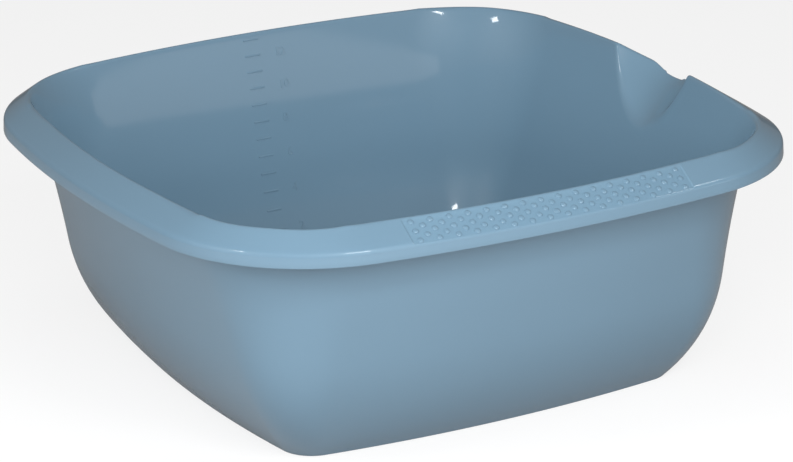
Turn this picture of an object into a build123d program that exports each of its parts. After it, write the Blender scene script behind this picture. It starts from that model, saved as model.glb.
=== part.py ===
# Square washing up bowl, one injection moulding in polypropylene, with a pouring spout on the +X side,
# dotted grips on the -Y and +Y sides of the rim and a litre scale inside the +Y wall.
# Millimetres, +Z up. The origin is under the middle of the base, on the surface that the bowl stands on.

import os
from math import asin, atan, cos, pi, radians, sin, sqrt, tan

from build123d import *

# Overall form: the crest is the highest line of the rim, where the wall turns over into the flange
bowl_height = 149.0
crest_length = 362.2
crest_width = 355.6
crest_bulge = 22.7
crest_corner_radius = 75.6

# Wall and floor: a straight taper that runs into a wide sweep, which meets the base at an angle
wall_thickness = 2.0
floor_thickness = 2.2
wall_taper_angle = 11.3
wall_top_inset = 2.9
wall_top_bulge = 26.0
wall_top_corner_radius = 89.0
sweep_radius = 130.0
sweep_foot_angle = 47.3
base_bulge = 10.9
base_corner_radius = 19.5
base_edge_radius = 2.5
floor_edge_radius = 9.0

# Steps between the sections of the wall: round the floor edge, round the sweep and up the straight part
floor_edge_steps = 2
sweep_steps = 5
wall_steps = 4

# Foot ring under the base, and the disc left where the mould was filled
foot_ring_width = 7.0
foot_ring_height = 1.2
gate_disc_diameter = 9.0
gate_disc_height = 0.5

# Rim: a lead-in inside the crest, a flange that slopes outwards and down, and a skirt
lead_in_depth = 3.5
lead_in_radius = 4.0
crest_edge_radius = 1.5
rim_reach = 14.7
rim_corner_radius = 102.8
rim_thickness = 2.0
flange_drop = 9.7
shoulder_radius = 3.5
skirt_drop = 17.1
skirt_draft = 0.4

# Pouring spout: an oblique cone with level round sections, given at the crest and at a lower level
spout_crest_radius = 39.9
spout_crest_inset = 12.5
spout_lower_drop = 48.0
spout_lower_radius = 25.2
spout_lower_inset = 45.2
spout_edge_radius = 1.8

# Grips: a shallow panel in the flange with staggered rows of low round dots
grip_length = 172.0
grip_recess = 0.4
grip_inner_share = 0.05
grip_outer_share = 0.94
dot_diameter = 3.6
dot_top_diameter = 1.8
dot_height = 0.65
dot_root = 0.5
dot_sides = 6
dot_margin = 4.6
dots_in_long_row = 16
dot_rows = 5
first_row_share = 0.16
last_row_share = 0.84

# Gussets that tie the skirt to the wall under each grip
gusset_count = 3
gusset_pitch = 82.0
gusset_thickness = 1.6
gusset_edge_gap = 0.5

# Litre scale: one raised bar for each litre, closer together as the bowl widens
litre_marks = 13
first_mark_share = 0.133
last_mark_share = 0.9725
mark_closing_share = 0.0975
mark_length = 10.0
mark_width = 1.1
mark_height = 0.45
mark_root = 0.8

# Overrun of every cut past the surface that it opens
overrun = 5.0

half_length = crest_length / 2
half_width = crest_width / 2
taper = tan(radians(wall_taper_angle))
floor_level = foot_ring_height + floor_thickness
sweep_centre_height = sweep_radius * cos(radians(sweep_foot_angle))
shoulder_level = bowl_height - flange_drop
skirt_level = bowl_height - skirt_drop
flange_slope = flange_drop / rim_reach
flange_angle = atan(flange_slope)
under_flange = bowl_height - rim_thickness / cos(flange_angle)
dot_pitch = (grip_length - 2 * dot_margin) / (dots_in_long_row - 1)


def side_radius(half_chord, bulge):
    # Radius of a side arc that stands proud of its chord by the bulge
    return (half_chord**2 + bulge**2) / (2 * bulge)


def outline(level, inset, bulge, corner_radius):
    # A square with bulged sides: four side arcs, and a corner arc tangent to each pair of them
    x_half = half_length - inset
    y_half = half_width - inset
    front_radius = side_radius(x_half, bulge)
    flank_radius = side_radius(y_half, bulge)
    front_centre = Vector(0, front_radius - y_half)
    flank_centre = Vector(x_half - flank_radius, 0)
    span = flank_centre - front_centre
    from_front = front_radius - corner_radius
    from_flank = flank_radius - corner_radius
    along = (from_front**2 - from_flank**2 + span.length**2) / (2 * span.length)
    across = sqrt(from_front**2 - along**2)
    ahead = span.normalized()
    corner_centre = front_centre + ahead * along + Vector(-ahead.Y, ahead.X) * across
    out_front = (corner_centre - front_centre).normalized()
    out_flank = (corner_centre - flank_centre).normalized()
    front_end = front_centre + out_front * front_radius
    flank_end = flank_centre + out_flank * flank_radius
    middle = corner_centre + (out_front + out_flank).normalized() * corner_radius

    def at(point, x_sign, y_sign):
        return (point.X * x_sign, point.Y * y_sign)

    with BuildSketch(Plane.XY.offset(level)) as face:
        with BuildLine():
            for turn in (1, -1):
                ThreePointArc(at(front_end, -turn, turn), (0, -y_half * turn), at(front_end, turn, turn))
                ThreePointArc(at(front_end, turn, turn), at(middle, turn, turn), at(flank_end, turn, turn))
                ThreePointArc(at(flank_end, turn, turn), (x_half * turn, 0), at(flank_end, turn, -turn))
                ThreePointArc(at(flank_end, turn, -turn), at(middle, turn, -turn), at(front_end, turn, -turn))
        make_face()
    return face.sketch


def crest_line(level):
    return outline(level, 0, crest_bulge, crest_corner_radius)


def lip_line(level, reach):
    # The outer line of the rim, or a line that runs inside it
    return outline(level, -reach, crest_bulge, rim_corner_radius + reach - rim_reach)


def sweep_top(depth):
    # Height at which the straight wall runs into the sweep, for a skin this deep in the wall
    return sweep_centre_height - (sweep_radius - depth) * sin(radians(wall_taper_angle))


def wall_inset(height, depth):
    # How far a skin of the wall lies inside the crest line at a height
    slant = cos(radians(wall_taper_angle))
    if height >= sweep_top(depth):
        return wall_top_inset + taper * (bowl_height - height) + depth / slant
    centre = wall_top_inset + taper * (bowl_height - sweep_centre_height) + sweep_radius / slant
    return centre - sqrt((sweep_radius - depth) ** 2 - (sweep_centre_height - height) ** 2)


def wall_lean(height, depth):
    # How far a skin of the wall leans out from upright at a height
    if height >= sweep_top(depth):
        return radians(wall_taper_angle)
    return asin((sweep_centre_height - height) / (sweep_radius - depth))


def wall_line(height, depth, further=0):
    # The corners get tighter and the sides flatter towards the base
    share = height / bowl_height
    bulge = base_bulge + (wall_top_bulge - base_bulge) * share
    corner_radius = base_corner_radius + (wall_top_corner_radius - base_corner_radius) * share
    return outline(height, wall_inset(height, depth) + further, bulge, corner_radius - depth - further)


def wall_lines(lowest, highest, depth):
    # Sections of the wall, in equal steps of lean round the sweep and then straight up
    lean = wall_lean(lowest, depth)
    lean_step = (lean - radians(wall_taper_angle)) / sweep_steps
    heights = []
    for step in range(sweep_steps):
        heights.append(sweep_centre_height - (sweep_radius - depth) * sin(lean - lean_step * step))
    bend_height = sweep_top(depth)
    for step in range(wall_steps + 1):
        heights.append(bend_height + (highest - bend_height) * step / wall_steps)
    return [wall_line(height, depth) for height in heights]


def inside_lines():
    # Sections of the space inside: the rounded edge of the floor, the wall, and the crest
    round_height = floor_level + floor_edge_radius
    round_depth = wall_thickness + floor_edge_radius
    round_inset = wall_inset(round_height, round_depth)
    end_lean = wall_lean(round_height, round_depth)
    sections = []
    for step in range(floor_edge_steps):
        lean = pi / 2 + (end_lean - pi / 2) * step / floor_edge_steps
        height = round_height - floor_edge_radius * sin(lean)
        inset = round_inset - floor_edge_radius * cos(lean)
        sections.append(wall_line(height, wall_thickness, inset - wall_inset(height, wall_thickness)))
    end_height = round_height - floor_edge_radius * sin(end_lean)
    sections += wall_lines(end_height, bowl_height - lead_in_depth, wall_thickness)
    return sections + [crest_line(bowl_height)]


def outside_lines():
    # Sections of the outer skin of the wall, flared at the top to follow the lead-in out to the rim
    lead_in_slope = lead_in_depth / wall_inset(bowl_height - lead_in_depth, wall_thickness)
    flare_inset = wall_inset(under_flange, 0) / (1 - taper * lead_in_slope)
    flare_level = under_flange - lead_in_slope * flare_inset
    return wall_lines(0, flare_level, 0) + [crest_line(under_flange)]


def spout_circles(growth):
    # The scoop of the spout, or its outer skin when it has grown by the wall thickness
    with BuildSketch(Plane.XY.offset(bowl_height - spout_lower_drop)) as lower:
        with Locations(Location((half_length - spout_lower_inset, 0), 180)):
            Circle(spout_lower_radius + growth)
    with BuildSketch(Plane.XY.offset(bowl_height)) as upper:
        with Locations(Location((half_length - spout_crest_inset, 0), 180)):
            Circle(spout_crest_radius + growth)
    return [lower.sketch, upper.sketch]


def grip_plane(x, share):
    # A plane on the panel of the -Y grip, square to the flange, this far along and across it
    radius = side_radius(half_length + rim_reach * share, crest_bulge)
    turn = asin(x / radius)
    y = radius * (1 - cos(turn)) - half_width - rim_reach * share
    z = bowl_height - flange_drop * share - grip_recess / cos(flange_angle)
    outwards = Vector(sin(turn), -cos(turn), 0)
    upright = outwards * sin(flange_angle) + Vector(0, 0, cos(flange_angle))
    return Plane(origin=(x, y, z), x_dir=(cos(turn), sin(turn), 0), z_dir=upright)


def scale_plane(level):
    # A plane on the inside of the +Y wall, with its Z axis into the bowl
    y = half_width - wall_inset(level, wall_thickness)
    lean = wall_lean(level, wall_thickness)
    return Plane(origin=(0, y, level), x_dir=(1, 0, 0), z_dir=(0, -cos(lean), sin(lean)))


# Outside of the rim, filled in, and carried down as far as the spout goes
with BuildPart() as rim_block:
    rim_outside = [
        lip_line(bowl_height - spout_lower_drop, rim_reach + skirt_draft),
        lip_line(skirt_level, rim_reach + skirt_draft),
        lip_line(shoulder_level, rim_reach),
        crest_line(bowl_height),
    ]
    loft(rim_outside, ruled=True)
    shoulder_edges = rim_block.edges().group_by(Axis.Z)[-3]
    fillet(shoulder_edges, shoulder_radius)

# Outer skin of the spout, trimmed to the outside of the rim
with BuildPart() as spout_skin:
    loft(spout_circles(wall_thickness), ruled=True)
    add(rim_block.part, mode=Mode.INTERSECT)

# Space inside the bowl, with a lead-in that opens it out to the crest
with BuildPart() as inside:
    loft(inside_lines(), ruled=True)
    fillet(inside.edges().group_by(Axis.Z)[-3], lead_in_radius)

# Gussets, as ribs across the whole bowl until its inside is cut out
with BuildPart() as gussets:
    rib_height = skirt_drop - gusset_edge_gap
    with BuildSketch(Plane.XY.offset(bowl_height - rib_height)):
        with GridLocations(gusset_pitch, 0, gusset_count, 1):
            Rectangle(gusset_thickness, crest_width + 2 * rim_reach)
    extrude(amount=rib_height)
    add(rim_block.part, mode=Mode.INTERSECT)

# What the grip panels take off the flange, on both sides
with BuildPart() as panel_cuts:
    extrude(lip_line(shoulder_level, rim_reach * grip_outer_share), flange_drop + overrun)
    extrude(lip_line(shoulder_level, rim_reach * grip_inner_share), flange_drop + overrun, mode=Mode.SUBTRACT)
    with BuildSketch(Plane.XY.offset(shoulder_level)):
        Rectangle(grip_length, crest_width + 2 * (rim_reach + overrun))
    extrude(amount=flange_drop + overrun, mode=Mode.INTERSECT)
    with Locations((0, 0, -grip_recess / cos(flange_angle))):
        add(rim_block.part, mode=Mode.SUBTRACT)

with BuildPart() as dot:
    with BuildSketch(Plane.XY.offset(-dot_root)):
        RegularPolygon(dot_diameter / 2, dot_sides)
    with BuildSketch(Plane.XY.offset(dot_height)):
        RegularPolygon(dot_top_diameter / 2, dot_sides)
    loft()

# Dots of the -Y grip: every second row is one dot shorter, so that the rows are staggered
with BuildPart() as dots:
    for row in range(dot_rows):
        row_share = first_row_share + (last_row_share - first_row_share) * row / (dot_rows - 1)
        dots_in_row = dots_in_long_row - row % 2
        row_start = -dot_pitch * (dots_in_row - 1) / 2
        places = [grip_plane(row_start + dot_pitch * number, row_share) for number in range(dots_in_row)]
        with Locations(*places):
            add(dot.part)

with BuildPart() as litre_scale:
    for number in range(litre_marks):
        step = number / (litre_marks - 1)
        climb = step + mark_closing_share * step * (1 - step)
        mark_share = first_mark_share + (last_mark_share - first_mark_share) * climb
        with BuildSketch(scale_plane(bowl_height * mark_share).offset(-mark_root)):
            Rectangle(mark_length, mark_width)
    extrude(amount=mark_root + mark_height)

with BuildPart() as bowl:
    # Rim, with its hollow underside
    add(rim_block.part)
    split(bisect_by=Plane.XY.offset(skirt_level), keep=Keep.TOP)
    inner_reach = rim_reach - rim_thickness
    rim_inside = [
        lip_line(skirt_level, inner_reach + skirt_draft),
        lip_line(under_flange - flange_slope * inner_reach, inner_reach),
        crest_line(under_flange),
    ]
    loft(rim_inside, ruled=True, mode=Mode.SUBTRACT)

    # Outer skin of the wall, the spout and the gussets
    loft(outside_lines(), ruled=True)
    add(spout_skin.part)
    add(gussets.part)

    # Inside of the bowl, up to a rounded crest
    add(inside.part, mode=Mode.SUBTRACT)
    fillet(bowl.edges().group_by(Axis.Z)[-1], crest_edge_radius)

    # Foot ring and gate disc
    foot_inset = wall_inset(0, 0) + foot_ring_width
    foot_ring_inside = outline(0, foot_inset, base_bulge, base_corner_radius - foot_ring_width)
    extrude(foot_ring_inside, foot_ring_height, mode=Mode.SUBTRACT)
    with BuildSketch(Plane.XY.offset(foot_ring_height - gate_disc_height)):
        Circle(gate_disc_diameter / 2)
    extrude(amount=gate_disc_height)
    foot = bowl.faces().sort_by(Axis.Z)[0]
    fillet(foot.outer_wire().edges(), base_edge_radius)

    # Scoop of the spout, through the wall and the rim
    loft(spout_circles(0), ruled=True, mode=Mode.SUBTRACT)
    fillet(bowl.edges(Select.NEW), spout_edge_radius)

    # Litre scale and grips
    add(litre_scale.part)
    add(panel_cuts.part, mode=Mode.SUBTRACT)
    with PolarLocations(0, 2):
        add(dots.part, clean=False)

bowl.part.label = "bowl"
os.makedirs("parts", exist_ok=True)
export_step(bowl.part, "parts/bowl.step")
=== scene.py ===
from math import asin, atan, atan2, cos, hypot, pi, radians, sin, sqrt, tan

import bmesh
import bpy
from mathutils import Matrix, Vector


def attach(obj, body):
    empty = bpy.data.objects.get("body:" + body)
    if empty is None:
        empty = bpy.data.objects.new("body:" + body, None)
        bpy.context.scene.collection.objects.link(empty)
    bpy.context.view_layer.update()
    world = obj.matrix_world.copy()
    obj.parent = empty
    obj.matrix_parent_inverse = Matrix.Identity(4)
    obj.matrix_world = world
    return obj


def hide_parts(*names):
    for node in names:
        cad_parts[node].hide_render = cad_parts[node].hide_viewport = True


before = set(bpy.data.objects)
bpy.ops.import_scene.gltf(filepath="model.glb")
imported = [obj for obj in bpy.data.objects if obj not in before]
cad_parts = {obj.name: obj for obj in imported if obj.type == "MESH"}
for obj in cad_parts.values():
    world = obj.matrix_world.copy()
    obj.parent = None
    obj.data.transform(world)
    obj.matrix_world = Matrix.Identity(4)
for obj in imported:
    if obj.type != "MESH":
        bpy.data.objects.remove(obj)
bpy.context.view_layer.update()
print("stage: frame loaded")

# Form of the bowl, in metres

bowlForm = {
    "height": 0.149,
    "crestLength": 0.3622,
    "crestWidth": 0.3556,
    "crestBulge": 0.0227,
    "crestCorner": 0.0716,
    "crestRound": 0.0019,
    "wall": 0.002,
    "taperAngle": radians(11.3),
    "topInset": 0.0029,
    "topBulge": 0.026,
    "topCorner": 0.089,
    "sweepRadius": 0.130,
    "sweepFootAngle": radians(47.3),
    "baseBulge": 0.0109,
    "baseCorner": 0.0195,
    "baseRound": 0.0025,
    "floorLevel": 0.0034,
    "floorRound": 0.009,
    "footWidth": 0.007,
    "footHeight": 0.0012,
    "sideFlare": 0.045,
    "sideFlarePower": 1.4,
    "cornerFlare": 0.112,
    "cornerFlarePower": 2,
    "rimReach": 0.0147,
    "rimCorner": 0.096,
    "rimThickness": 0.002,
    "flangeDrop": 0.0097,
    "shoulderRound": 0.0035,
    "skirtDrop": 0.0171,
    "skirtDraft": 0.0004,
    "skirtEdge": 0.0003,
    "innerShoulderRound": 0.0012,
    "footEdge": 0.0002,
    "crestInwards": 0.004,
    "outerRoundSteps": 10,
    "innerRoundSteps": 5,
}
spoutForm = {
    "crestRadius": 0.0399,
    "crestInset": 0.0125,
    "lowerDrop": 0.048,
    "lowerRadius": 0.0252,
    "lowerInset": 0.0452,
    "blend": 0.0035,
    "startLevel": 0.092,
    "reachAside": 0.055,
}
gripForm = {
    "halfLength": 0.086,
    "recess": 0.0004,
    "rampStart": 0.0006,
    "rampWidth": 0.0014,
    "panelFirst": 0.0012,
    "panelLast": 0.0141,
    "panelSearch": -0.0178,
    "panelBelow": 0.001,
    "panelFacing": 0.7,
}

height = bowlForm["height"]
halfLength = bowlForm["crestLength"] / 2
halfWidth = bowlForm["crestWidth"] / 2
taperAngle = bowlForm["taperAngle"]
taper = tan(taperAngle)
sweepRadius = bowlForm["sweepRadius"]
sweepCentre = sweepRadius * cos(bowlForm["sweepFootAngle"])
wall = bowlForm["wall"]
rimReach = bowlForm["rimReach"]
flangeAngle = atan(bowlForm["flangeDrop"] / rimReach)
underFlange = height - bowlForm["rimThickness"] / cos(flangeAngle)
slopeStep = 0.001  # a short way, over which a slope is taken


def blend(a, b, share):
    return a + (b - a) * share


def smoothMax(a, b, width):
    overlap = max(width - abs(a - b), 0) / width
    return max(a, b) + overlap * overlap * width / 4


# Evenly spaced values from first to last, both of them included
def steps(first, last, count):
    return [blend(first, last, number / (count - 1)) for number in range(count)]


# Plan outlines


def sideRadius(halfChord, bulge):
    return (halfChord**2 + bulge**2) / (2 * bulge)


# A square with bulged sides and round corners, seen from above
class Outline:
    def __init__(self, inset, bulge, corner):
        self.xHalf = halfLength - inset
        self.yHalf = halfWidth - inset
        self.frontRadius = sideRadius(self.xHalf, bulge)
        self.flankRadius = sideRadius(self.yHalf, bulge)
        self.corner = corner
        frontCentre = Vector((0, self.frontRadius - self.yHalf))
        flankCentre = Vector((self.xHalf - self.flankRadius, 0))
        self.frontCentre = frontCentre.y
        self.flankCentre = flankCentre.x
        span = flankCentre - frontCentre
        fromFront = self.frontRadius - corner
        fromFlank = self.flankRadius - corner
        along = (fromFront**2 - fromFlank**2 + span.length_squared) / (2 * span.length)
        across = sqrt(fromFront**2 - along**2)
        ahead = span.normalized()
        self.cornerCentre = frontCentre + ahead * along + Vector((-ahead.y, ahead.x)) * across
        outFront = self.cornerCentre - frontCentre
        outFlank = self.cornerCentre - flankCentre
        self.frontAngle = atan2(outFront.y, outFront.x)
        self.flankAngle = atan2(outFlank.y, outFlank.x)
        self.frontEnd = outFront.normalized().x * self.frontRadius
        self.flankEnd = -outFlank.normalized().y * self.flankRadius

    # Where a column crosses this outline. A column is (side, x sign, y sign, fixed place, rest share)
    def point(self, column):
        side, xSign, ySign, fixed, share = column
        if side == "front":
            x = fixed + share * (self.frontEnd - fixed)
            y = -self.frontAt(x)
        elif side == "flank":
            y = -(fixed + share * (self.flankEnd - fixed))
            x = self.flankAt(y)
        else:
            angle = blend(self.frontAngle, self.flankAngle, share)
            x = self.cornerCentre.x + self.corner * cos(angle)
            y = self.cornerCentre.y + self.corner * sin(angle)
        return x * xSign, -y * ySign

    def frontAt(self, x):
        return sqrt(self.frontRadius**2 - x * x) - self.frontCentre

    def flankAt(self, y):
        return self.flankCentre + sqrt(self.flankRadius**2 - y * y)


# An outline of the rim, this far outside the crest line
def reachLine(reach):
    share = reach / rimReach
    corner = blend(bowlForm["crestCorner"], bowlForm["rimCorner"], share)
    return Outline(-reach, bowlForm["crestBulge"], corner)


# How far a point of a column lies outside the crest line
def reachOf(column, x, y):
    if column[0] == "flank":
        reach = 0.0
        for turn in range(6):  # each turn comes closer
            radius = sideRadius(halfWidth + reach, bowlForm["crestBulge"])
            reach += hypot(abs(x) - (halfLength + reach - radius), y) - radius
        return reach
    crest = Vector(reachLine(0).point(column))
    outwards = Vector(reachLine(slopeStep).point(column)) - crest
    return slopeStep * (Vector((x, y)) - crest).dot(outwards) / outwards.length_squared


# Section of the wall


def sweepTop(depth):
    return sweepCentre - (sweepRadius - depth) * sin(taperAngle)


def wallInset(level, depth):
    slant = cos(taperAngle)
    if level >= sweepTop(depth):
        return bowlForm["topInset"] + taper * (height - level) + depth / slant
    centre = bowlForm["topInset"] + taper * (height - sweepCentre) + sweepRadius / slant
    return centre - sqrt((sweepRadius - depth) ** 2 - (sweepCentre - level) ** 2)


def wallShape(level):
    share = level / height
    bulge = blend(bowlForm["baseBulge"], bowlForm["topBulge"], share)
    return bulge, blend(bowlForm["baseCorner"], bowlForm["topCorner"], share)


# Rounded edge of the floor
floorRound = bowlForm["floorRound"]
roundLevel = bowlForm["floorLevel"] + floorRound
roundInset = wallInset(roundLevel, wall + floorRound)
roundLean = asin((sweepCentre - roundLevel) / (sweepRadius - wall - floorRound))
roundEnd = roundLevel - floorRound * sin(roundLean)

# Flare that brings the top of the wall out to the rim
flareOut = wallInset(underFlange, 0)


def flareShare(level, part):
    start = bowlForm[part]
    return (max(level - start, 0) / (underFlange - start)) ** bowlForm[part + "Power"]


def flaredInset(level, depth):
    return wallInset(level, depth) - flareShare(level, "sideFlare") * flareOut


# Outline of the upper wall at a level, with the corners of the rim's crest at its top
def flaredLine(level, depth):
    bulge, corner = wallShape(level)
    return Outline(
        flaredInset(level, depth),
        blend(bulge, bowlForm["crestBulge"], flareShare(level, "sideFlare")),
        blend(corner, bowlForm["crestCorner"], flareShare(level, "cornerFlare")) - depth,
    )


# Outline of the inside of the bowl at a level
def innerLine(level):
    if level >= roundEnd:
        return flaredLine(level, wall)
    bulge, corner = wallShape(level)
    down = min(roundLevel - level, floorRound)
    inset = roundInset - sqrt(max(floorRound**2 - down**2, 0))
    return Outline(inset, bulge, corner - wall - (inset - wallInset(level, wall)))


# Outline of the outer skin of the wall at a level
def outerLine(level):
    return flaredLine(level, 0)


# Section of the rim, as paths of (reach, level)


# A path of points with its inner points rounded
def filleted(points, radii, count):
    path = [Vector(points[0])]
    for number in range(1, len(points) - 1):
        here = Vector(points[number])
        back = (Vector(points[number - 1]) - here).normalized()
        ahead = (Vector(points[number + 1]) - here).normalized()
        radius = radii[number - 1]
        if not radius:
            path.append(here)
            continue
        half = back.angle(ahead) / 2
        tangent = radius / tan(half)
        centre = here + (back + ahead).normalized() * radius / sin(half)
        start = here + back * tangent - centre
        turn = start.angle_signed(here + ahead * tangent - centre)
        for step in range(count):
            angle = -turn * step / (count - 1)
            path.append(centre + Matrix.Rotation(angle, 2) @ start)
    path.append(Vector(points[-1]))
    return path


# A path of points, walked by the distance along it
class Path:
    def __init__(self, points):
        self.points = points
        self.marks = [0.0]
        for number in range(1, len(points)):
            self.marks.append(self.marks[-1] + (points[number] - points[number - 1]).length)
        self.length = self.marks[-1]

    def at(self, distance):
        distance = min(max(distance, 0), self.length)
        for number in range(1, len(self.marks)):
            if distance <= self.marks[number]:
                span = self.marks[number] - self.marks[number - 1]
                share = (distance - self.marks[number - 1]) / span if span else 0
                return self.points[number - 1].lerp(self.points[number], share)
        return self.points[-1]

    # Distance along the path of its nearest point
    def nearest(self, point):
        best = None
        for number in range(1, len(self.points)):
            start = self.points[number - 1]
            step = self.points[number] - start
            share = min(max((point - start).dot(step) / max(step.length_squared, 1e-18), 0), 1)
            gap = (start + step * share - point).length
            if best is None or gap < best[0]:
                best = (gap, self.marks[number - 1] + step.length * share)
        return best[1]


shoulderLevel = height - bowlForm["flangeDrop"]
skirtLevel = height - bowlForm["skirtDrop"]
skirtFoot = rimReach + bowlForm["skirtDraft"]
innerReach = rimReach - bowlForm["rimThickness"]
innerFoot = innerReach + bowlForm["skirtDraft"]
innerCorner = underFlange - innerReach * tan(flangeAngle)
# The flange's plane is drawn on inwards past the crest line, to where the inside of the wall meets it
crestInwards = bowlForm["crestInwards"]
crestMark = crestInwards / cos(flangeAngle)
pathStart = (-crestInwards, height + crestInwards * tan(flangeAngle))
outerPath = Path(filleted(
    [pathStart, (rimReach, shoulderLevel), (skirtFoot, skirtLevel)],
    [bowlForm["shoulderRound"]],
    bowlForm["outerRoundSteps"],
))
innerPath = Path(filleted(
    [(innerFoot, skirtLevel), (innerReach, innerCorner), (0, underFlange)],
    [bowlForm["innerShoulderRound"]],
    bowlForm["innerRoundSteps"],
))


# Above zero where a point is outside the rim's outer surface
def outsideRim(reach, level):
    path = outerPath.points
    if level <= path[-2].y:
        foot = blend(path[-2].x, path[-1].x, (path[-2].y - level) / (path[-2].y - path[-1].y))
        return reach - foot
    top = path[-2].y
    for number in range(len(path) - 2):
        start, end = path[number], path[number + 1]
        if reach <= end.x:
            top = blend(start.y, end.y, (reach - start.x) / (end.x - start.x))
            break
    return max(level - top, reach - rimReach)


# Above zero where a point has passed the inner surface of the rim's hollow
def aboveCeiling(reach, level):
    foot = blend(innerReach, innerFoot, (innerCorner - level) / (innerCorner - skirtLevel))
    return max(level - (underFlange - reach * tan(flangeAngle)), reach - foot)


# Spout


# Centre and radius of the spout's scoop at a level
def scoop(level, growth):
    share = (height - level) / spoutForm["lowerDrop"]
    centre = halfLength - blend(spoutForm["crestInset"], spoutForm["lowerInset"], share)
    return centre, blend(spoutForm["crestRadius"], spoutForm["lowerRadius"], share) + growth


# A wall point, moved out to the scoop where the scoop lies outside it
def pushed(x, y, level, growth):
    centre, radius = scoop(level, growth)
    if x < centre or abs(y) > spoutForm["reachAside"]:
        return x, y
    far = hypot(x - centre, y)
    scale = smoothMax(far, radius, spoutForm["blend"]) / far
    return centre + (x - centre) * scale, y * scale


# Where a test changes from below zero to above, between two levels
def crossing(test, low, high):
    if test(high) <= 0:
        return high
    for turn in range(40):  # halves the gap each time
        middle = (low + high) / 2
        if test(middle) > 0:
            high = middle
        else:
            low = middle
    return (low + high) / 2


# Columns round the bowl


# A run has a first place, a last place and a count. The panel's margins lie round the end of a grip
columnForm = {
    "frontRun": (0, 0.081, 28),
    "panelMargins": (-0.0025, -0.0006, -0.0002, 0.0002, 0.0006, 0.003),
    "spoutRuns": ((0, 0.012, 19), (0.0132, 0.0456, 28), (0.048, 0.060, 6)),
    "plainRun": (0, 0.060, 16),
    "frontRest": 5,
    "flankRest": 14,
    "corner": 34,
}


def sideColumns(places, shares):
    return [(place, 0) for place in places] + [(places[-1], share) for share in shares]


frontPlaces = steps(*columnForm["frontRun"])
frontPlaces += [gripForm["halfLength"] + margin for margin in columnForm["panelMargins"]]
spoutPlaces = [place for run in columnForm["spoutRuns"] for place in steps(*run)]
plainPlaces = steps(*columnForm["plainRun"])
restShares = steps(0, 1, columnForm["frontRest"] + 1)[1:]
flankShares = steps(0, 1, columnForm["flankRest"] + 1)[1:]
cornerShares = steps(0, 1, columnForm["corner"] + 1)[1:-1]

front = sideColumns(frontPlaces, restShares)
spoutSide = sideColumns(spoutPlaces, flankShares)
plainSide = sideColumns(plainPlaces, flankShares)


# Columns of a side from its first end to its second. The signs say which quadrant each half is in
def bothWays(side, items, first, second):
    before = [(side, *first, fixed, share) for fixed, share in reversed(items[1:])]
    after = [(side, *second, fixed, share) for fixed, share in items]
    return before + after


# A y sign of 1 mirrors the outline's own quadrant, which is at -Y
columns = bothWays("front", front, (-1, -1), (1, -1))
columns += [("corner", 1, -1, 0, share) for share in cornerShares]
columns += bothWays("flank", spoutSide, (1, -1), (1, 1))
columns += [("corner", 1, 1, 0, 1 - share) for share in cornerShares]
columns += bothWays("front", front, (1, 1), (-1, 1))
columns += [("corner", -1, 1, 0, share) for share in cornerShares]
columns += bothWays("flank", plainSide, (-1, 1), (-1, -1))
columns += [("corner", -1, -1, 0, 1 - share) for share in cornerShares]
print("stage: columns", len(columns))

# Rings, from the floor out, over the rim and back


# How many rings each stretch has, the small marks along the rim's paths, and the places of the flat rings
ringForm = {
    "floorRound": 8,
    "sweep": 15,
    "lower": 7,
    "upper": 42,
    "crest": 9,
    "flange": 10,
    "shoulder": 12,
    "hollow": 6,
    "outer": 31,
    "lowerOuter": 6,
    "baseRound": 6,
    "crestTangent": 0.0018,
    "crestDrop": 0.0015,
    "skirtStart": 0.0004,
    "hollowMarks": [0.0018, 0.0032],
    "lipStep": 0.0002,
    "roundShare": 0.85,
    "floorShares": [0.06, 0.35, 0.65, 0.85, 0.95, 0.985],
    "baseShares": [0.9, 0.65, 0.35, 0.06],
}


# Levels round the sweep, at equal steps of lean
def leanLevels(first, last, count, depth):
    return [sweepCentre - (sweepRadius - depth) * sin(lean) for lean in steps(first, last, count)]


startLevel = spoutForm["startLevel"]
floorShares = ringForm["floorShares"]
floorLeans = steps(pi / 2, roundLean, ringForm["floorRound"])
floorLevels = [roundLevel - floorRound * sin(lean) for lean in floorLeans]
sweepLevels = leanLevels(roundLean, taperAngle, ringForm["sweep"], wall)[1:]
lowerLevels = steps(sweepTop(wall), startLevel, ringForm["lower"])[1:]
crestTangent = ringForm["crestTangent"]
crestStart = height - ringForm["crestDrop"]
upperLevels = steps(startLevel, crestStart, ringForm["upper"])[1:]

shoulderTurn = pi / 2 - flangeAngle
flangeEnd = rimReach / cos(flangeAngle) - bowlForm["shoulderRound"] * tan(shoulderTurn / 2)
flangeMarks = steps(crestTangent, flangeEnd, ringForm["flange"])
shoulderEnd = flangeEnd + bowlForm["shoulderRound"] * shoulderTurn
skirtEdge = bowlForm["skirtEdge"]
outerMarks = flangeMarks + steps(flangeEnd, shoulderEnd, ringForm["shoulder"])[1:]
skirtEnd = outerPath.length - crestMark
outerMarks += [shoulderEnd + ringForm["skirtStart"], (shoulderEnd + skirtEnd) / 2, skirtEnd - skirtEdge]

innerRise = innerPath.length
bendMarks = innerPath.marks[1 : bowlForm["innerRoundSteps"] + 1]
innerMarks = [skirtEdge] + ringForm["hollowMarks"] + bendMarks
innerMarks += steps(bendMarks[-1], innerRise, ringForm["hollow"])[1:]

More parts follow.
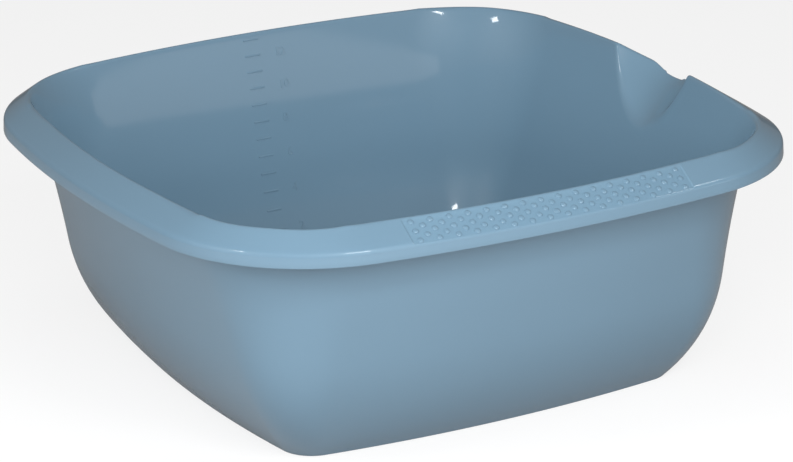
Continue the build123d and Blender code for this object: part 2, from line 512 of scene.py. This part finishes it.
outerLevels = steps(underFlange, startLevel, ringForm["outer"])[1:]
lowerOuterLevels = steps(startLevel, sweepTop(0), ringForm["lowerOuter"])[1:]
baseInset = wallInset(0, 0)
baseRound = bowlForm["baseRound"]
baseTurn = pi / 2 - bowlForm["sweepFootAngle"]
baseTangent = baseRound * tan(baseTurn / 2)
baseLevel = baseTangent * cos(bowlForm["sweepFootAngle"])
baseLean = asin((sweepCentre - baseLevel) / sweepRadius)
outerSweepLevels = leanLevels(taperAngle, baseLean, ringForm["sweep"], 0)[1:]
footEdge = bowlForm["footEdge"]
footInset = baseInset + bowlForm["footWidth"]
footHeight = bowlForm["footHeight"]
basePoints = [
    (baseInset + baseTangent - baseRound * sin(angle), baseRound * (1 - cos(angle)))
    for angle in steps(baseTurn, 0, ringForm["baseRound"])[1:]
]
basePoints += [
    (footInset - footEdge, 0),
    (footInset, footEdge),
    (footInset, footHeight - footEdge),
    (footInset + footEdge, footHeight),
]
baseShares = ringForm["baseShares"]


def baseLine(inset):
    return Outline(inset, bowlForm["baseBulge"], bowlForm["baseCorner"] - (inset - baseInset))


# Whether a column is in the middle stretch of the side that has the spout
def onSpoutSide(column):
    return column[0] == "flank" and column[1] > 0 and not column[4]


def onWall(line, column, level, growth):
    x, y = line.point(column)
    if onSpoutSide(column):
        x, y = pushed(x, y, level, growth)
    return Vector((x, y, level))


def onInner(column, level):
    return onWall(innerLine(level), column, level, 0)


def onOuter(column, level):
    return onWall(outerLine(level), column, level, wall)


# A point of the rim's section, in its place on a column
def onRim(column, lipY, spot):
    line = reachLine(spot.x)
    if lipY is None:
        x, y = line.point(column)
    else:
        x, y = line.flankAt(lipY), lipY
    return Vector((x, y, spot.y))


# Level of the lip, its place along the outer path, and its y
def lipOf(column):
    def test(level):
        spot = onInner(column, level)
        return outsideRim(reachOf(column, spot.x, spot.y), level)

    level = crossing(test, startLevel, height + crestInwards)
    spot = onInner(column, level)
    mark = outerPath.nearest(Vector((reachOf(column, spot.x, spot.y), level)))
    return level, mark, spot.y


# Level where the outer skin runs into the rim's hollow, its place along the inner path, and its y
def jointOf(column):
    def test(level):
        spot = onOuter(column, level)
        return aboveCeiling(reachOf(column, spot.x, spot.y), level)

    level = crossing(test, startLevel, underFlange)
    spot = onOuter(column, level)
    mark = innerPath.nearest(Vector((reachOf(column, spot.x, spot.y), level)))
    return level, mark, spot.y


def rescaled(value, first, last, newFirst, newLast):
    return newFirst + (value - first) * (newLast - newFirst) / (last - first)


# A spot of the rim's outer path, cut down to the plane of a grip panel
def recessed(column, spot):
    side, xSign, ySign, fixed, share = column
    if side != "front" or share or fixed > gripForm["halfLength"] or spot.x < gripForm["rampStart"]:
        return spot
    outwards = Vector((sin(flangeAngle), cos(flangeAngle)))
    ramp = min((spot.x - gripForm["rampStart"]) / gripForm["rampWidth"], 1)
    above = gripForm["recess"] * ramp + outwards.dot(spot - Vector((0, height)))
    return spot - outwards * max(above, 0)


# All points of a column, one for each ring
def columnRun(column):
    lipLevel, lipMark, lipY = lipOf(column)
    jointLevel, jointMark, jointY = underFlange, innerRise, None
    if onSpoutSide(column):
        jointLevel, jointMark, jointY = jointOf(column)
    else:
        lipY = None
    lip = onInner(column, lipLevel)
    lipStep = ringForm["lipStep"]
    rise = (lip - onInner(column, lipLevel - lipStep)) / lipStep
    fall = onRim(column, lipY, outerPath.at(lipMark + lipStep)) - lip
    turn = rise.angle(fall)
    tangent = bowlForm["crestRound"] * tan(turn / 2)
    tangent = min(tangent, ringForm["roundShare"] * (outerPath.length - skirtEdge - lipMark))
    lastLevel = lipLevel - tangent / rise.length
    firstMark = lipMark + tangent

    floorLine = innerLine(bowlForm["floorLevel"])
    run = [Vector((*floorLine.point(column), bowlForm["floorLevel"])) for share in floorShares]
    for number, share in enumerate(floorShares):
        run[number].xy *= share
    run += [onInner(column, level) for level in floorLevels + sweepLevels + lowerLevels]
    for level in upperLevels:
        run.append(onInner(column, rescaled(level, startLevel, crestStart, startLevel, lastLevel)))
    before = run[-1]
    after = onRim(column, lipY, outerPath.at(firstMark))
    for share in steps(0, 1, ringForm["crest"])[1:-1]:
        run.append(before * (1 - share) ** 2 + lip * 2 * share * (1 - share) + after * share**2)
    lastMark = outerPath.length - skirtEdge
    for mark in outerMarks:
        moved = rescaled(mark + crestMark, crestTangent + crestMark, lastMark, firstMark, lastMark)
        run.append(onRim(column, lipY, recessed(column, outerPath.at(moved))))
    inwards = skirtEdge * (1 - sqrt(0.5))
    skirtSpots = [
        (skirtFoot - inwards, skirtLevel + inwards),
        (skirtFoot - skirtEdge, skirtLevel),
        (innerFoot + skirtEdge, skirtLevel),
        (innerFoot + inwards, skirtLevel + inwards),
    ]
    run += [onRim(column, lipY, Vector(spot)) for spot in skirtSpots]
    for mark in innerMarks:
        moved = rescaled(mark, skirtEdge, innerRise, skirtEdge, jointMark)
        y = None if lipY is None else rescaled(mark, skirtEdge, innerRise, lipY, jointY)
        run.append(onRim(column, y, innerPath.at(moved)))
    for level in outerLevels:
        run.append(onOuter(column, rescaled(level, startLevel, underFlange, startLevel, jointLevel)))
    run += [onOuter(column, level) for level in lowerOuterLevels + outerSweepLevels]
    run += [Vector((*baseLine(inset).point(column), level)) for inset, level in basePoints]
    last = run[-1]
    run += [Vector((last.x * share, last.y * share, footHeight)) for share in baseShares]
    return run


runs = [columnRun(column) for column in columns]
print("stage: rings", len(runs[0]), "faces", len(runs) * len(runs[0]))


def ringOf(verts, centre):
    return sorted((v for v in verts if v is not centre), key=lambda v: atan2(v.co.y, v.co.x))


# Extrudes a ring and gives the new vertices in the same order
def nextRing(bm, ring):
    edges = [bm.edges.get((ring[number - 1], ring[number])) for number in range(len(ring))]
    made = bmesh.ops.extrude_edge_only(bm, edges=edges)["geom"]
    fresh = {v for v in made if isinstance(v, bmesh.types.BMVert)}
    new = []
    for v in ring:
        new += [e.other_vert(v) for e in v.link_edges if e.other_vert(v) in fresh]
    return new


def newPiece(name, bm, materials, body="root"):
    mesh = bpy.data.meshes.new(name)
    bm.to_mesh(mesh)
    bm.free()
    for material in materials:
        mesh.materials.append(material)
    mesh.shade_smooth()
    piece = bpy.data.objects.new(name, mesh)
    bpy.context.scene.collection.objects.link(piece)
    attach(piece, body)
    return piece


# Materials

plastic = {
    "color": (0.135, 0.232, 0.315, 1),
    "roughness": 0.40,
    "specular": 0.5,
    "skin": 1.0,
    "skinRoughness": 0.07,
    "grainScale": 900,
    "grainStrength": 0.02,
    "panelRoughness": 0.5,
    "panelSkin": 0,
    "panelGrainScale": 1500,
    "panelGrainStrength": 0.25,
    "grainDetail": 2,
    "grainDepth": 0.0003,
    "cloudScale": 9,
    "cloudDetail": 3,
    "cloudSpread": 0.03,
}


def plasticMaterial(name, roughness, skin, grainScale, grainStrength):
    material = bpy.data.materials.new(name)
    material.use_nodes = True
    nodes, links = material.node_tree.nodes, material.node_tree.links
    shader = nodes["Principled BSDF"]
    shader.inputs["Specular IOR Level"].default_value = plastic["specular"]
    shader.inputs["Coat Weight"].default_value = skin
    shader.inputs["Coat Roughness"].default_value = plastic["skinRoughness"]
    place = nodes.new("ShaderNodeTexCoord")
    cloud = nodes.new("ShaderNodeTexNoise")
    cloud.inputs["Scale"].default_value = plastic["cloudScale"]
    cloud.inputs["Detail"].default_value = plastic["cloudDetail"]
    links.new(place.outputs["Object"], cloud.inputs["Vector"])
    tint = nodes.new("ShaderNodeMix")
    tint.data_type = "RGBA"
    spread = plastic["cloudSpread"]
    tint.inputs["A"].default_value = tuple(c * (1 - spread) for c in plastic["color"][:3]) + (1,)
    tint.inputs["B"].default_value = tuple(c * (1 + spread) for c in plastic["color"][:3]) + (1,)
    links.new(cloud.outputs["Fac"], tint.inputs["Factor"])
    links.new(tint.outputs["Result"], shader.inputs["Base Color"])
    wear = nodes.new("ShaderNodeMapRange")
    wear.inputs["To Min"].default_value = roughness - spread
    wear.inputs["To Max"].default_value = roughness + spread
    links.new(cloud.outputs["Fac"], wear.inputs["Value"])
    links.new(wear.outputs["Result"], shader.inputs["Roughness"])
    grain = nodes.new("ShaderNodeTexNoise")
    grain.inputs["Scale"].default_value = grainScale
    grain.inputs["Detail"].default_value = plastic["grainDetail"]
    links.new(place.outputs["Object"], grain.inputs["Vector"])
    bump = nodes.new("ShaderNodeBump")
    bump.inputs["Strength"].default_value = grainStrength
    bump.inputs["Distance"].default_value = plastic["grainDepth"]
    links.new(grain.outputs["Fac"], bump.inputs["Height"])
    links.new(bump.outputs["Normal"], shader.inputs["Normal"])
    return material


smoothPlastic = plasticMaterial(
    "smoothPlastic",
    plastic["roughness"],
    plastic["skin"],
    plastic["grainScale"],
    plastic["grainStrength"],
)
grainPlastic = plasticMaterial(
    "grainPlastic",
    plastic["panelRoughness"],
    plastic["panelSkin"],
    plastic["panelGrainScale"],
    plastic["panelGrainStrength"],
)

# Bowl

bm = bmesh.new()
disc = bmesh.ops.create_circle(bm, cap_ends=True, cap_tris=True, segments=len(columns), radius=1)["verts"]
middle = min(disc, key=lambda v: v.co.length)
ring = ringOf(disc, middle)
middle.co = (0, 0, bowlForm["floorLevel"])
for number in range(len(runs[0])):
    if number:
        ring = nextRing(bm, ring)
    for vert, run in zip(ring, runs):
        vert.co = run[number]
ring = nextRing(bm, ring)
bmesh.ops.pointmerge(bm, verts=ring, merge_co=(0, 0, footHeight))
bmesh.ops.recalc_face_normals(bm, faces=bm.faces)
line = reachLine(rimReach / 2)
for face in bm.faces:
    spot = face.calc_center_median()
    onFlange = spot.z > shoulderLevel - gripForm["panelBelow"] and face.normal.z > gripForm["panelFacing"]
    reach = abs(spot.y) - halfWidth
    if onFlange and abs(spot.x) < gripForm["halfLength"] and reach > gripForm["panelSearch"]:
        drop = line.frontRadius - sqrt(line.frontRadius**2 - spot.x**2)
        if gripForm["panelFirst"] < reach + drop < gripForm["panelLast"]:
            face.material_index = 1
print("stage: bowl", len(bm.faces))
bowl = newPiece("bowlShell", bm, [smoothPlastic, grainPlastic])
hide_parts("bowl")

# Dots of the grips

dotForm = {
    "radius": 0.0018,
    "height": 0.00065,
    "root": 0.0003,
    "margin": 0.0046,
    "longRow": 16,
    "rows": 5,
    "firstShare": 0.165,
    "lastShare": 0.86,
    "segments": 14,
    "rings": 8,
}


# A frame with its x axis along across and its z axis along upright
def planeMatrix(origin, across, upright):
    along = across.normalized()
    upward = upright.normalized()
    sideways = upward.cross(along)
    turned = Matrix((along, sideways, upward)).transposed().to_4x4()
    return Matrix.Translation(origin) @ turned


def gripPlane(x, share):
    reach = rimReach * share
    radius = sideRadius(halfLength + reach, bowlForm["crestBulge"])
    turn = asin(x / radius)
    y = radius * (1 - cos(turn)) - halfWidth - reach
    z = height - reach * tan(flangeAngle) - gripForm["recess"] / cos(flangeAngle)
    outwards = Vector((sin(turn), -cos(turn), 0))
    upright = outwards * sin(flangeAngle) + Vector((0, 0, cos(flangeAngle)))
    return planeMatrix(Vector((x, y, z)), Vector((cos(turn), sin(turn), 0)), upright)


bm = bmesh.new()
bmesh.ops.create_uvsphere(bm, u_segments=dotForm["segments"], v_segments=dotForm["rings"], radius=1)
for vert in bm.verts:
    vert.co.x *= dotForm["radius"]
    vert.co.y *= dotForm["radius"]
    vert.co.z *= dotForm["height"] if vert.co.z > 0 else dotForm["root"]
dotMesh = bpy.data.meshes.new("dot")
bm.to_mesh(dotMesh)
bm.free()

gripLength = 2 * gripForm["halfLength"]
dotPitch = (gripLength - 2 * dotForm["margin"]) / (dotForm["longRow"] - 1)
for name, turn in (("gripDotsFront", 0), ("gripDotsBack", pi)):
    bm = bmesh.new()
    for row in range(dotForm["rows"]):
        share = blend(dotForm["firstShare"], dotForm["lastShare"], row / (dotForm["rows"] - 1))
        count = dotForm["longRow"] - row % 2
        for number in range(count):
            x = dotPitch * (number - (count - 1) / 2)
            already = set(bm.verts)
            bm.from_mesh(dotMesh)
            fresh = [vert for vert in bm.verts if vert not in already]
            place = Matrix.Rotation(turn, 4, "Z") @ gripPlane(x, share)
            bmesh.ops.transform(bm, matrix=place, verts=fresh)
    newPiece(name, bm, [smoothPlastic])
print("stage: dots")

# Litre scale

scaleForm = {
    "marks": 13,
    "firstShare": 0.133,
    "lastShare": 0.9725,
    "closing": 0.0975,
    "length": 0.010,
    "width": 0.0011,
    "raised": 0.00045,
    "root": 0.0006,
    "edge": 0.00018,
    "middle": 0.0005,
    "numeralLeft": 0.0152,
    "numeralHeight": 0.0052,
    "numeralRaised": 0.0003,
    "numeralEdge": 0.00008,
    "numeralSteps": 4,
    "capitalShare": 0.7,
}


# A frame on the inside of the +Y wall, upright along the wall, with its z axis into the bowl
def scalePlane(x, level):
    line = innerLine(level)
    y = line.frontAt(x)
    turn = asin(x / line.frontRadius)
    spread = flaredInset(level - slopeStep, wall) - flaredInset(level + slopeStep, wall)
    lean = atan(spread / (2 * slopeStep))
    inwards = Vector((-sin(turn), -cos(turn), 0)) * cos(lean) + Vector((0, 0, sin(lean)))
    return planeMatrix(Vector((x, y, level)), Vector((cos(turn), -sin(turn), 0)), inwards)


def markLevel(number):
    step = number / (scaleForm["marks"] - 1)
    climb = step + scaleForm["closing"] * step * (1 - step)
    return height * blend(scaleForm["firstShare"], scaleForm["lastShare"], climb)


bm = bmesh.new()
thick = scaleForm["raised"] + scaleForm["root"]
for number in range(scaleForm["marks"]):
    made = bmesh.ops.create_cube(bm, size=1)["verts"]
    shape = Matrix.Translation((0, 0, scaleForm["raised"] - thick / 2))
    shape = shape @ Matrix.Diagonal((scaleForm["length"], scaleForm["width"], thick, 1))
    bmesh.ops.transform(bm, matrix=scalePlane(scaleForm["middle"], markLevel(number)) @ shape, verts=made)
edge = scaleForm["edge"]
bmesh.ops.bevel(bm, geom=bm.edges[:], offset=edge, segments=2, affect="EDGES", profile=0.5, material=-1)
newPiece("litreMarks", bm, [smoothPlastic])

bm = bmesh.new()
for number in range(1, scaleForm["marks"], 2):
    curve = bpy.data.curves.new("numeral", "FONT")
    curve.body = str(number + 1)
    curve.size = scaleForm["numeralHeight"] / scaleForm["capitalShare"]
    curve.align_y = "CENTER"
    curve.extrude = scaleForm["numeralRaised"]
    curve.bevel_depth = scaleForm["numeralEdge"]
    curve.resolution_u = scaleForm["numeralSteps"]
    holder = bpy.data.objects.new("numeral", curve)
    bpy.context.scene.collection.objects.link(holder)
    flat = bpy.data.meshes.new_from_object(holder)
    bpy.data.objects.remove(holder)
    bpy.data.curves.remove(curve)
    already = set(bm.verts)
    bm.from_mesh(flat)
    bpy.data.meshes.remove(flat)
    fresh = [vert for vert in bm.verts if vert not in already]
    place = scalePlane(scaleForm["numeralLeft"], markLevel(number))
    bmesh.ops.transform(bm, matrix=place, verts=fresh)
newPiece("litreNumerals", bm, [smoothPlastic])
print("stage: scale")

# Gussets under the grips

gussetForm = {
    "pitch": 0.082,
    "thickness": 0.0016,
    "edgeGap": 0.0005,
    "overlap": 0.0004,
    "steps": 6,
}
overlap = gussetForm["overlap"]
low = skirtLevel + gussetForm["edgeGap"]
bm = bmesh.new()
for side in (-1, 1):
    for number in (-1, 0, 1):
        x = number * gussetForm["pitch"]
        spots = []
        for level in steps(low, underFlange - overlap, gussetForm["steps"]):
            spots.append((outerLine(level).frontAt(x) - overlap, level))
        for reach in (0, innerReach):
            spots.append((reachLine(reach).frontAt(x), underFlange - reach * tan(flangeAngle) + overlap))
        spots.append((reachLine(innerFoot + overlap).frontAt(x), low))
        made = [bm.verts.new((x - gussetForm["thickness"] / 2, side * y, z)) for y, z in spots]
        plate = bmesh.ops.contextual_create(bm, geom=made)["faces"]
        grown = bmesh.ops.extrude_face_region(bm, geom=plate)["geom"]
        moved = [item for item in grown if isinstance(item, bmesh.types.BMVert)]
        bmesh.ops.translate(bm, vec=(gussetForm["thickness"], 0, 0), verts=moved)
bmesh.ops.recalc_face_normals(bm, faces=bm.faces)
gussets = newPiece("gussets", bm, [smoothPlastic])
for face in gussets.data.polygons:
    face.use_smooth = False

# Disc where the mould was filled

discForm = {
    "radius": 0.0045,
    "thickness": 0.0009,
    "low": 0.0007,
    "edge": 0.0002,
    "segments": 40,
}
bm = bmesh.new()
bmesh.ops.create_cone(
    bm,
    cap_ends=True,
    segments=discForm["segments"],
    radius1=discForm["radius"],
    radius2=discForm["radius"],
    depth=discForm["thickness"],
    matrix=Matrix.Translation((0, 0, discForm["low"] + discForm["thickness"] / 2)),
)
sharp = [edge for edge in bm.edges if len(edge.link_faces) == 2 and edge.calc_face_angle() > 1]
edge = discForm["edge"]
bmesh.ops.bevel(bm, geom=sharp, offset=edge, segments=2, affect="EDGES", profile=0.5, material=-1)
newPiece("gateDisc", bm, [smoothPlastic])
print("stage: gussets and disc")

# Stage

floorForm = {
    "halfSize": 6,
    "roughness": 0.9,
    "whiteShare": 0.8,
    "paint": (0.45, 0.45, 0.45, 1),
    "seenPaint": (0.95, 0.95, 0.95, 1),
}
floorMesh = bpy.data.meshes.new("floor")
bm = bmesh.new()
bmesh.ops.create_grid(bm, x_segments=1, y_segments=1, size=floorForm["halfSize"])
bm.to_mesh(floorMesh)
bm.free()
floor = bpy.data.objects.new("floor", floorMesh)
bpy.context.scene.collection.objects.link(floor)
floorMaterial = bpy.data.materials.new("floorWhite")
floorMaterial.use_nodes = True
nodes, links = floorMaterial.node_tree.nodes, floorMaterial.node_tree.links
matt = nodes["Principled BSDF"]
matt.inputs["Roughness"].default_value = floorForm["roughness"]
matt.inputs["Specular IOR Level"].default_value = 0
glow = nodes.new("ShaderNodeEmission")
seen = nodes.new("ShaderNodeLightPath")
part = nodes.new("ShaderNodeMath")
part.operation = "MULTIPLY"
part.inputs[1].default_value = floorForm["whiteShare"]
links.new(seen.outputs["Is Camera Ray"], part.inputs[0])
paint = nodes.new("ShaderNodeMix")
paint.data_type = "RGBA"
paint.inputs["A"].default_value = floorForm["paint"]
paint.inputs["B"].default_value = floorForm["seenPaint"]
links.new(seen.outputs["Is Camera Ray"], paint.inputs["Factor"])
links.new(paint.outputs["Result"], matt.inputs["Base Color"])
choice = nodes.new("ShaderNodeMixShader")
links.new(part.outputs["Value"], choice.inputs["Fac"])
links.new(matt.outputs["BSDF"], choice.inputs[1])
links.new(glow.outputs["Emission"], choice.inputs[2])
links.new(choice.outputs["Shader"], nodes["Material Output"].inputs["Surface"])
floorMesh.materials.append(floorMaterial)
print("stage: floor")

# Light

lightForm = {
    "surround": (0.2, 0.2, 0.2, 1),
    "backdrop": (1, 1, 1, 1),
    "aim": (0, 0, 0.08),
}
world = bpy.data.worlds.new("studio")
bpy.context.scene.world = world
world.use_nodes = True
nodes, links = world.node_tree.nodes, world.node_tree.links
surround = nodes["Background"]
surround.inputs["Color"].default_value = lightForm["surround"]
backdrop = nodes.new("ShaderNodeBackground")
backdrop.inputs["Color"].default_value = lightForm["backdrop"]
seen = nodes.new("ShaderNodeLightPath")
choice = nodes.new("ShaderNodeMixShader")
links.new(seen.outputs["Is Camera Ray"], choice.inputs["Fac"])
links.new(surround.outputs["Background"], choice.inputs[1])
links.new(backdrop.outputs["Background"], choice.inputs[2])
links.new(choice.outputs["Shader"], nodes["World Output"].inputs["Surface"])

# Azimuth from -Y towards +X and elevation, in degrees, then distance, width and height in metres,
# radiance, and whether the plastic mirrors the lamp
lamps = {
    "key": (-14, 27, 0.95, 0.80, 0.45, 7.4, False),
    "left": (-82, 20, 1.1, 0.90, 0.50, 4.4, False),
    "overhead": (0, 88, 1.4, 0.80, 0.80, 1.0, False),
    "card": (20, 7, 1.2, 1.60, 0.30, 0.8, True),
    "streak": (-3, 40, 1.2, 0.26, 0.10, 20, True),
    "leftStreak": (-78, 40, 1.2, 0.12, 0.10, 20, True),
    "rightStreak": (60, 45, 1.2, 0.12, 0.10, 14, True),
}
for name, (azimuth, elevation, distance, width, tall, radiance, mirrored) in lamps.items():
    light = bpy.data.lights.new(name, "AREA")
    light.shape = "RECTANGLE"
    light.size = width
    light.size_y = tall
    light.energy = radiance * pi * width * tall
    holder = bpy.data.objects.new(name, light)
    level = radians(elevation)
    side = radians(azimuth)
    towards = Vector((sin(side) * cos(level), -cos(side) * cos(level), sin(level)))
    holder.location = Vector(lightForm["aim"]) + towards * distance
    holder.rotation_euler = towards.to_track_quat("Z", "Y").to_euler()
    holder.visible_camera = False
    holder.visible_glossy = mirrored
    bpy.context.scene.collection.objects.link(holder)
print("stage: light")

# Camera

cameraForm = {
    "azimuth": -0.494,
    "elevation": 0.340,
    "roll": -0.019,
    "distance": 2.0275,
    "target": (-0.00119, -0.01132, 0.07749),
    "lens": 160.4,
    "sensor": 36,
    "nearest": 0.05,
    "farthest": 50,
}
azimuth = cameraForm["azimuth"]
elevation = cameraForm["elevation"]
roll = cameraForm["roll"]
back = Vector((sin(azimuth) * cos(elevation), -cos(azimuth) * cos(elevation), sin(elevation)))
right = Vector((cos(azimuth), sin(azimuth), 0))
up = back.cross(right)
rolledRight = right * cos(roll) + up * sin(roll)
rolledUp = up * cos(roll) - right * sin(roll)
camera = bpy.data.cameras.new("camera")
camera.lens = cameraForm["lens"]
camera.sensor_width = cameraForm["sensor"]
camera.sensor_fit = "HORIZONTAL"
camera.clip_start = cameraForm["nearest"]
camera.clip_end = cameraForm["farthest"]
viewer = bpy.data.objects.new("camera", camera)
turned = Matrix((rolledRight, rolledUp, back)).transposed().to_4x4()
spot = Vector(cameraForm["target"]) + back * cameraForm["distance"]
viewer.matrix_world = Matrix.Translation(spot) @ turned
bpy.context.scene.collection.objects.link(viewer)
bpy.context.scene.camera = viewer
bpy.context.scene.view_settings.view_transform = "Standard"
